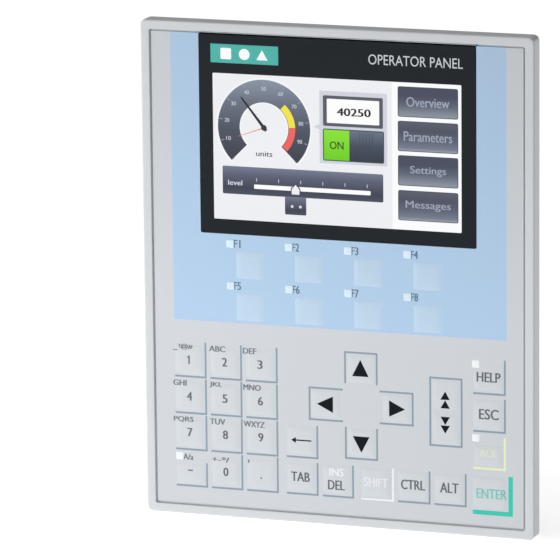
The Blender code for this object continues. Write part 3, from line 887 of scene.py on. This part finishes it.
def threeSided(box, openSide):  # an outline round an arrow key, open on one side
    x0, x1, z0, z1 = box
    half = line / 2
    sides = {
        "left": rect((x0 - half, x0 + half, z0 + half, z1 - half)),
        "right": rect((x1 - half, x1 + half, z0 + half, z1 - half)),
        "low": rect((x0 - half, x1 + half, z0 - half, z0 + half)),
        "high": rect((x0 - half, x1 + half, z1 - half, z1 + half)),
    }
    return [outline for side, outline in sides.items() if side != openSide]


numberLines = {"right": -52.0, "left": -64.2, "low": -40.85, "pitch": 14.05, "gap": 0.75, "caseTop": -73.9}
keyCorners = (  # right, low, top, left
    (-8.2, -68.8, -56.4, -20.3), (-8.2, -82.9, -70.6, -20.3), (5.7, -82.9, -70.6, -6.2),
    (35.5, -82.9, -70.6, 23.2), (49.5, -82.9, -70.6, 37.4), (64.6, -39.6, -26.6, 52.4),
    (64.6, -53.9, -41.4, 52.4),
)
arrowOutlines = (
    ((2.9, 15.2, -39.6, -27.4), "low"), ((3.0, 15.2, -67.8, -55.5), "high"),
    ((-11.1, 1.6, -53.9, -41.8), "right"), ((16.6, 29.1, -53.6, -41.5), "left"),
)
pageOutline = (
    (35.55, 36.25, -60.8, -34.5), (47.65, 48.35, -60.8, -34.5),
    (36.25, 47.65, -35.2, -34.5), (36.25, 47.65, -60.8, -60.1),
)
blueLines = []
for row in range(4):
    low = numberLines["low"] - numberLines["pitch"] * row
    for column in range(3):
        right = numberLines["right"] + numberLines["pitch"] * column
        left = numberLines["left"] + numberLines["pitch"] * column
        top = low + numberLines["pitch"] - numberLines["gap"]
        if row == 3 and column == 0:
            top = numberLines["caseTop"]
        blueLines += corner(right, low, top, left)
for right, low, top, left in keyCorners:
    blueLines += corner(right, low, top, left)
for box, openSide in arrowOutlines:
    blueLines += threeSided(box, openSide)
blueLines += [rect(box) for box in pageOutline]
decal("keyLines", blueLines, "lineBlue")
decal("shiftLines", corner(21.3, -82.9, -70.6, 8.9), "lineWhite")
decal("ackLines", corner(64.6, -67.9, -55.8, 52.4, 0.9), "lineYellow")
decal("enterLines", corner(66.8, -84.7, -70.4, 52.2, 1.7), "lineTeal")
words("functionLabels", [
    (f"F{4 * row + column + 1}", (-40.4 + 23.0 * column, -37.6 + 23.0 * column, low, low + 3.0))
    for row, low in enumerate((9.5, -6.5)) for column in range(4)
], "inkBlue", bold=0.08)
words("caseLabel", [("A/a", (-61.4, -57.3, -73.0, -70.7))], "inkSoft", bold=0.1)

print("stage: display")
screenBox = (-47.8, 48.2, 20.2, 75.1)

paneOutline = roundRect(windowBox, 0.6, 4)
pane = [(-4.9, paneOutline), (-6.46, paneOutline), (-6.5, roundRect(grown(windowBox, -0.04), 0.56, 4))]
windowPane = solid("displayWindow", pane, "window", bend=20)
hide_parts("display_window")
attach(windowPane, "panel")


def glowing(name, colour):
    looks[name] = lit(name, colour)
    return name


def shown(name, outlines, colour, level):  # a part of the picture, the higher levels in front
    decal(name, outlines, glowing(name + "Light", colour), level)


def captioned(name, texts, colour, level, bold=0.05):
    words(name, texts, glowing(name + "Light", colour), level, bold=bold)


def fadeStops(*pairs):  # gradient stops from byte colours
    return [(position, tone(*colour)) for position, colour in pairs]


shown("screenBackground", [roundRect(screenBox, 0.4, 3)], dotted, 0)
shown("screenColumn", [rect((21.7, 48.1, 20.3, 75.0))], tone(250, 251, 253), 1)

gauge = {"centre": (-27.9, 55.4), "inner": 9.5, "outer": 18.0, "start": 225.0, "stop": -45.0}
ringOuter = arc(gauge["centre"], gauge["outer"], gauge["start"], gauge["stop"], 72)
ringInner = arc(gauge["centre"], gauge["inner"], gauge["stop"], gauge["start"], 72)


def band(inner, outer, start, stop, count=24):
    centre = gauge["centre"]
    return arc(centre, outer, start, stop, count) + arc(centre, inner, stop, start, count)


shown("gaugeRim", [band(8.9, 18.7, 227, -47, 72)], tone(244, 245, 248), 1)
shades = fadeStops((0.0, (134, 145, 160)), (0.3, (100, 108, 124)), (0.6, (72, 78, 94)), (1.0, (48, 52, 64)))
shown("gaugeRing", [ringOuter + ringInner], fading(73.4, 42.5, shades), 2)
shown("gaugeYellow", [band(9.7, 12.2, 48, 3)], tone(243, 226, 60), 3)
shown("gaugeRed", [band(9.7, 12.2, 3, -43)], tone(236, 96, 92), 3)
marks = []
for number in range(11):
    turn = 225 - 27 * number
    near, far = (arc(gauge["centre"], radius, turn, turn, 1)[0] for radius in (16.4, 17.6))
    marks.append(bar(near, far, 0.35))
shown("gaugeMarks", marks, tone(140, 148, 163), 3)
numbers = []
for number in range(1, 10):
    x, z = arc(gauge["centre"], 14.6, 225 - 27 * number, 0, 1)[0]
    text = str(number * 10)
    numbers.append((text, centred(0.95 * len(text), 1.5, (x, z))))
captioned("gaugeNumbers", numbers, tone(186, 192, 202), 4)
captioned("gaugeUnit", [("units", centred(6.4, 1.9, (-27.9, 45.6)))], tone(70, 76, 88), 1)


def pointer(turn, reach, tail, width):
    centre = Vector(gauge["centre"])
    ahead = Vector((math.cos(math.radians(turn)), math.sin(math.radians(turn))))
    side = Vector((-ahead.y, ahead.x)) * width / 2
    tip, end = centre + ahead * reach, centre - ahead * tail
    return [tuple(end + side), tuple(end - side), tuple(tip - side * 0.45), tuple(tip + side * 0.45)]


shown("pointerThin", [pointer(200, 10.6, 0.5, 0.4)], tone(226, 128, 124), 5)
shown("pointerMain", [pointer(128.5, 14.2, 1.4, 1.25)], tone(24, 26, 32), 6)
shown("pointerHub", [circle(gauge["centre"], 1.1, 20)], tone(38, 42, 52), 7)

plate = [(-6.3, 57.9), (-8.5, 56.9), (-6.3, 55.9), (-6.3, 43.4), (19.8, 43.4), (19.8, 70.5), (-6.3, 70.5)]
shown("valuePlate", [plate], tone(208, 211, 220), 1)
shown("valueFrame", [roundRect((-4.9, 18.2, 57.4, 68.8), 0.5, 3)], tone(84, 86, 98), 2)
shown("valueField", [roundRect((-3.4, 16.8, 58.6, 67.6), 0.3, 3)], tone(252, 252, 253), 3)
captioned("valueNumber", [("40250", centred(13.2, 2.9, (7.0, 62.9)))], tone(20, 22, 26), 4, 0.16)
dark = fadeStops((0.0, (100, 112, 128)), (0.5, (60, 70, 88)), (1.0, (42, 50, 64)))
shown("switchBody", [roundRect((-5.0, 18.6, 44.4, 56.4), 0.6, 3)], tone(60, 66, 78), 2)
shown("switchOff", [rect((5.2, 18.2, 44.8, 56.0))], fading(56.0, 44.8, dark), 3)
ribs = [rect((x, x + 0.22, 45.4, 55.4)) for x in (9.2, 10.4, 11.6, 12.8, 14.0)]
shown("switchRibs", ribs, tone(58, 66, 82), 4)
green = fadeStops((0.0, (134, 226, 40)), (1.0, (106, 204, 12)))
shown("switchOn", [rect((-4.6, 5.2, 44.8, 56.0))], fading(56.0, 44.8, green), 3)
captioned("switchText", [("ON", centred(5.4, 2.9, (0.3, 50.3)))], tone(22, 62, 14), 4)

bluish = fadeStops((0.0, (112, 118, 140)), (0.3, (84, 90, 112)), (0.75, (52, 58, 76)), (1.0, (66, 72, 92)))
shown("sliderPanel", [roundRect((-44.3, 18.2, 29.9, 40.4), 0.5, 3)], fading(40.4, 29.9, bluish), 1)
shown("sliderTab", [roundRect((-20.0, -11.7, 23.3, 30.0), 0.4, 3)], fading(30.0, 23.2, bluish), 2)
shown("sliderTrack", [roundRect((-32.0, 13.3, 32.3, 33.9), 0.3, 3)], tone(252, 252, 254), 2)
ticks = [rect((x - 0.12, x + 0.12, 35.0, 36.3)) for x in (-31.0, -22.4, -13.8, -5.2, 3.4, 12.0)]
shown("sliderTicks", ticks, tone(206, 210, 222), 2)
captioned("sliderText", [("level", centred(5.6, 1.9, (-39.4, 34.2)))], tone(214, 218, 228), 2)
knobEdge = [(-17.7, 30.6), (-13.9, 30.6), (-13.9, 33.2), (-15.8, 35.2), (-17.7, 33.2)]
knob = [(-17.3, 31.0), (-14.3, 31.0), (-14.3, 33.0), (-15.8, 34.6), (-17.3, 33.0)]
shown("sliderKnobEdge", [knobEdge], tone(60, 66, 80), 3)
shown("sliderKnob", [knob], tone(236, 238, 243), 4)
shown("sliderDots", [circle((x, 26.4), 0.55, 16) for x in (-17.2, -14.0)], tone(214, 218, 228), 3)

buttons = {
    "x": (24.2, 46.7), "lows": (62.6, 49.8, 37.0, 24.0), "height": 10.7, "rim": 0.3,
    "captions": (("Overview", 16.5), ("Parameters", 18.6), ("Settings", 13.8), ("Messages", 17.4)),
    "captionHeight": 3.6, "captionMiddle": 5.4,
}
faces = (  # for the second and fourth button, and for the first and third
    fadeStops(
        (0.0, (84, 88, 102)), (0.3, (72, 76, 94)), (0.62, (88, 94, 112)), (0.9, (112, 120, 138)),
        (1.0, (150, 158, 170)),
    ),
    fadeStops((0.0, (66, 70, 90)), (0.3, (66, 70, 90)), (0.62, (90, 98, 114)), (1.0, (138, 148, 160))),
)
for number, (low, (caption, length)) in enumerate(zip(buttons["lows"], buttons["captions"]), 1):
    x0, x1 = buttons["x"]
    high = low + buttons["height"]
    outside = grown((x0, x1, low, high), buttons["rim"])
    shown(f"buttonEdge{number}", [roundRect(outside, 0.7, 3)], tone(66, 70, 84), 2)
    face = faces[number % 2]
    shown(f"buttonFace{number}", [roundRect((x0, x1, low, high), 0.5, 3)], fading(high, low, face), 3)
    middle = ((x0 + x1) / 2, low + buttons["captionMiddle"])
    captionBox = centred(length, buttons["captionHeight"], middle)
    captioned(f"buttonText{number}", [(caption, captionBox)], tone(156, 163, 182), 4, 0.06)

decal("markPlate", [roundRect((-48.5, -22.1, 79.0, 86.0), 0.1, 2)], "markTeal", 0)
pictogram = [
    roundRect((-44.6, -40.4, 80.4, 84.6), 0.5, 3), circle((-35.3, 82.5), 2.1, 28),
    [(-30.6, 80.6), (-26.2, 80.6), (-28.4, 84.4)],
]
decal("markShapes", pictogram, "markWhite", 1)
words("panelTitle", [("OPERATOR PANEL", (12.7, 48.8, 81.1, 84.9))], "titleGrey")


print("stage: back and inside")
refined("rear_housing", "rearHousing", "housing", 0.25, edge=40)
refined("power_socket", "powerSocket", "terminal", 0.15, edge=40)
refined("ethernet_socket", "ethernetSocket", "shield", 0.15, edge=40)
refined("usb_host_socket", "usbHostSocket", "shield", 0.12, edge=40)

contacts = {
    "ethernetX": (4.9, 15.1), "ethernetY": (12.32, 12.7), "ethernetZ": (-83.2, -73.6),
    "usbX": (31.7, 34.0, 36.4, 38.7), "usbY": (15.21, 15.4), "usbZ": (-83.3, -75.6),
}
first, last = contacts["ethernetX"]
pins = []
for number in range(8):
    x = first + (last - first) * number / 7
    pins.append(((x - 0.25, x + 0.25), contacts["ethernetY"], contacts["ethernetZ"]))
tongues = [((x - 0.5, x + 0.5), contacts["usbY"], contacts["usbZ"]) for x in contacts["usbX"]]


def blocks(name, sizes, look):  # contacts: flat bars with an eased back
    mesh = bmesh.new()
    for (x0, x1), (y0, y1), (z0, z1) in sizes:
        ease = min(x1 - x0, z1 - z0) * 0.2
        wide, slim = rect((x0, x1, z0, z1)), rect((x0 + ease, x1 - ease, z0 + ease, z1 - ease))
        loft(mesh, [(y0, wide), (y1 - ease / 2, wide), (y1, slim)])
    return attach(finished(name, mesh, look, 25), "panel")


blocks("ethernetContacts", pins, "gold")
blocks("usbContacts", tongues, "gold")


def turned(at, profile):  # rings of a turned part from (depth, radius) pairs
    return [(depth, circle(at, radius, 36)) for depth, radius in profile]


for number in range(1, 5):
    low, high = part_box(f"housing_screw_{number}")
    at = ((low.x + high.x) / 2 / mm, (low.z + high.z) / 2 / mm)
    start, end, wide = low.y / mm, high.y / mm, (high.x - low.x) / 2 / mm
    seat = end - 2.0
    profile = [
        (start, 1.1), (start + 0.4, 1.4), (seat, 1.4), (seat, wide - 0.1), (seat + 0.1, wide),
        (seat + 1.2, wide), (seat + 1.6, wide - 0.2), (seat + 1.9, wide - 0.75), (end, wide - 1.2),
    ]
    drive = []  # the two bars of the cross
    for box in (centred(2.7, 0.62, at), centred(0.62, 2.7, at)):
        drive.append(tool("drive", [(end + 0.5, rect(box)), (end - 1.1, rect(grown(box, -0.12)))]))
    mesh = bmesh.new()
    loft(mesh, turned(at, profile))
    screw = finished(f"housingScrew{number}", mesh, "screw", 40)
    for cutter in drive:
        step = screw.modifiers.new("drive", "BOOLEAN")
        step.operation = "DIFFERENCE"
        step.solver = "EXACT"
        step.object = cutter
    bpy.context.view_layer.update()
    shaped = evaluated(screw)
    screw.modifiers.clear()
    screw.data = shaped
    shaped.set_sharp_from_angle(angle=math.radians(40))
    for cutter in drive:
        bpy.data.objects.remove(cutter)
    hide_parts(f"housing_screw_{number}")
    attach(screw, "panel")

seal = {"inner": (139.6, 175.6), "outer": (145.8, 181.8), "front": -0.9, "back": 0.6}
section = (  # round the seal's section: the share of the way outwards, and of the way backwards
    (0.0, 0.3), (0.0, 0.75), (0.12, 0.95), (0.35, 1.0), (0.65, 1.0), (0.88, 0.95), (1.0, 0.75), (1.0, 0.3),
    (0.85, 0.0), (0.15, 0.0),
)
sealRings = []
for side, lift in section:
    width = seal["inner"][0] + (seal["outer"][0] - seal["inner"][0]) * side
    height = seal["inner"][1] + (seal["outer"][1] - seal["inner"][1]) * side
    depth = seal["front"] + (seal["back"] - seal["front"]) * lift
    sealRings.append((depth, roundRect(centred(width, height), 2.2, 8)))
sealing = solid("panelSeal", sealRings, "gasket", closed=True, bend=50)
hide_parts("panel_gasket")
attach(sealing, "panel")

dressed = {  # the CAD nodes that are shown as they are
    "touch_sensor": ("touch", "touch_glass"),
    "lcd_panel": ("panelGlass", "lcd_glass"),
    "backlight_unit": ("backlight", "backlight"),
    "lcd_bracket": ("bracket", "bracket_steel"),
    "dome_sheet": ("dome", "dome_sheet"),
    "keypad_board": ("board", "circuit_board"),
    "main_board": ("board", "circuit_board"),
    "led_guide_upper": ("guide", "light_guide"),
    "led_guide_lower": ("guide", "light_guide"),
    "led_guide_right": ("guide", "light_guide"),
    "led_guide_left": ("guide", "light_guide"),
    "rating_plate": ("label", "label"),
}
for node, (look, slot) in dressed.items():
    nodeMesh = frame["nodes"][node].data
    nodeMesh.materials.clear()
    nodeMesh.materials.append(looks[look].made)

print("stage: floor")
floorMesh = bmesh.new()
bmesh.ops.create_grid(floorMesh, x_segments=1, y_segments=1, size=studio["floorSize"])
floorData = bpy.data.meshes.new("studioFloor")
floorMesh.to_mesh(floorData)
floorMesh.free()
floor = bpy.data.objects.new("studioFloor", floorData)
bpy.context.scene.collection.objects.link(floor)
floor.location.z = studio["floor"]
floorLook = Look("studioFloor", 0.9, Specular_IOR_Level=0.0)
floorLook.give("Base Color", floorLook.mix(floorLook.noise(0.6), (0.86, 0.86, 0.87, 1), (0.9, 0.9, 0.9, 1)))
floorLook.give("Emission Color", (1, 1, 1, 1))
floorLook.give("Emission Strength", studio["floorGlow"])
floorData.materials.append(floorLook.made)

print("stage: finished")
